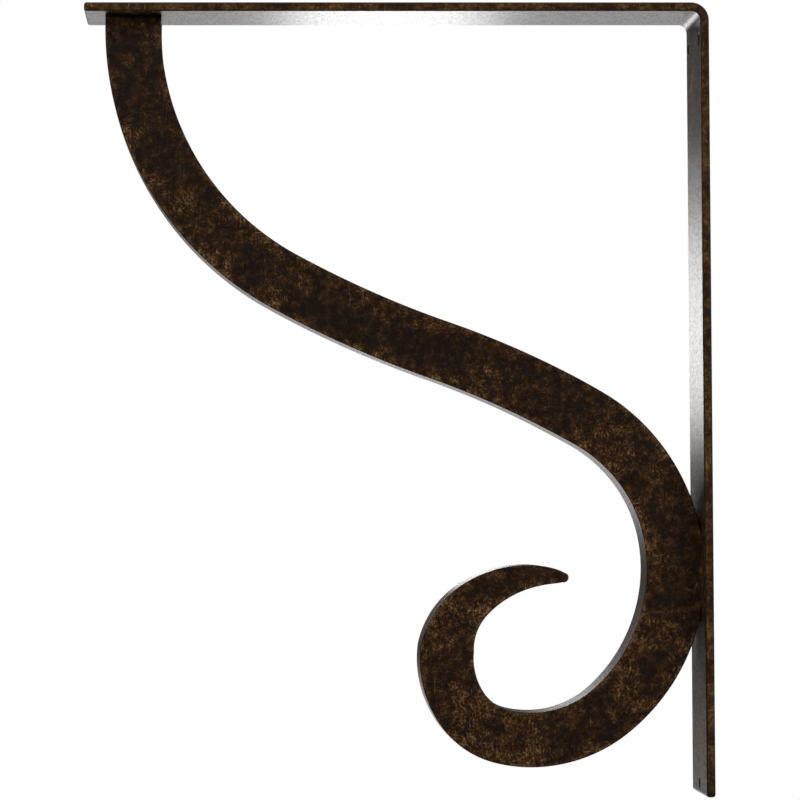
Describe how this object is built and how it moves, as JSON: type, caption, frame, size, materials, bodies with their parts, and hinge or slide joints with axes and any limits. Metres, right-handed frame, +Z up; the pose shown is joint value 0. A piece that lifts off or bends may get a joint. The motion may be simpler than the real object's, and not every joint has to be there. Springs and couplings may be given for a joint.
{
  "type": "wrought iron bracket",
  "caption": "Wall bracket of flat iron bar bent into an arm and a leg, braced by a thick S-shaped scroll with a hooked curl, with screw holes in the leg.",
  "frame": {"origin": "on the wall face, which is the leg's back, in the middle of its width and level with the upper pair of screw holes, 16 mm below the shelf face", "axes": "+X out of the leg's back into the wall, so that the arm reaches towards -X; +Y across the bars; +Z up"},
  "size_m": [0.2794, 0.0508, 0.3556],
  "materials": {
    "bronzed_iron_bar": "dark brown bronze finish rubbed to golden brown in fine streaks, under a glossy clear coat",
    "bronzed_iron_scroll": "dark brown bronze finish rubbed to golden brown in fine streaks, under a glossy clear coat"
  },
  "bodies": {
    "root": {"angle_frame": "bronzed_iron_bar", "scroll_brace": "bronzed_iron_scroll"}
  },
  "joints": []
}
